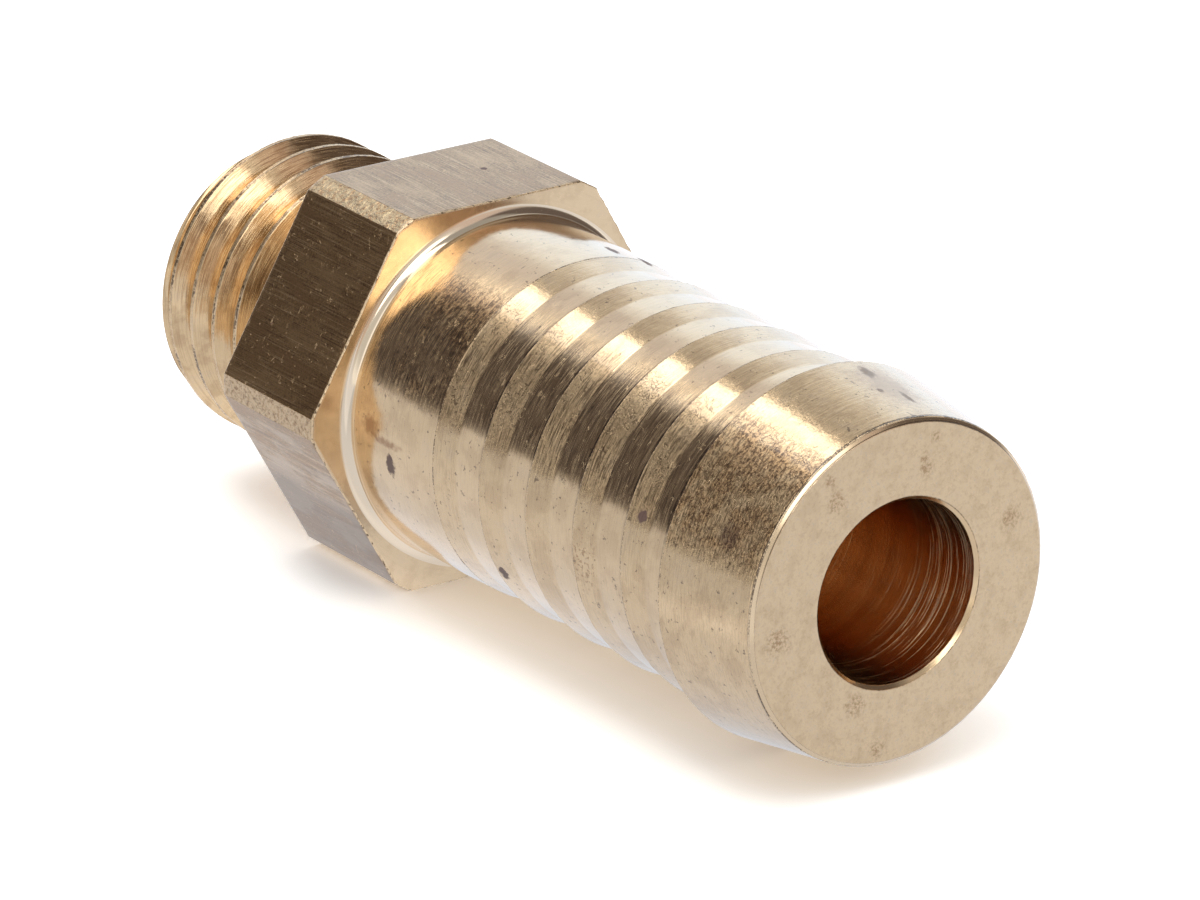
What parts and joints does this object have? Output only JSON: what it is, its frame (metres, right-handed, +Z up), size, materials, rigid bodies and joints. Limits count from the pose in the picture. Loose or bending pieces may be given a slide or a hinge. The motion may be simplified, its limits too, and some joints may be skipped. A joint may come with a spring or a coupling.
{
  "type": "hose adapter",
  "caption": "Straight brass hose adapter: barbed tail for a rubber hose, hexagon for a spanner, male thread, and a bore right through.",
  "frame": {"origin": "on the axis of the bore, in the plane of the shoulder between the hexagon and the thread", "axes": "+X along the axis towards the hose end, +Z up, square to the upper flat of the hexagon; the adapter lies on its lower flat"},
  "size_m": [0.0399, 0.0168, 0.015],
  "materials": {
    "brass": "turned and drawn brass, unplated, lightly tarnished and stained"
  },
  "bodies": {
    "root": {"adapter_body": "brass"}
  },
  "joints": []
}
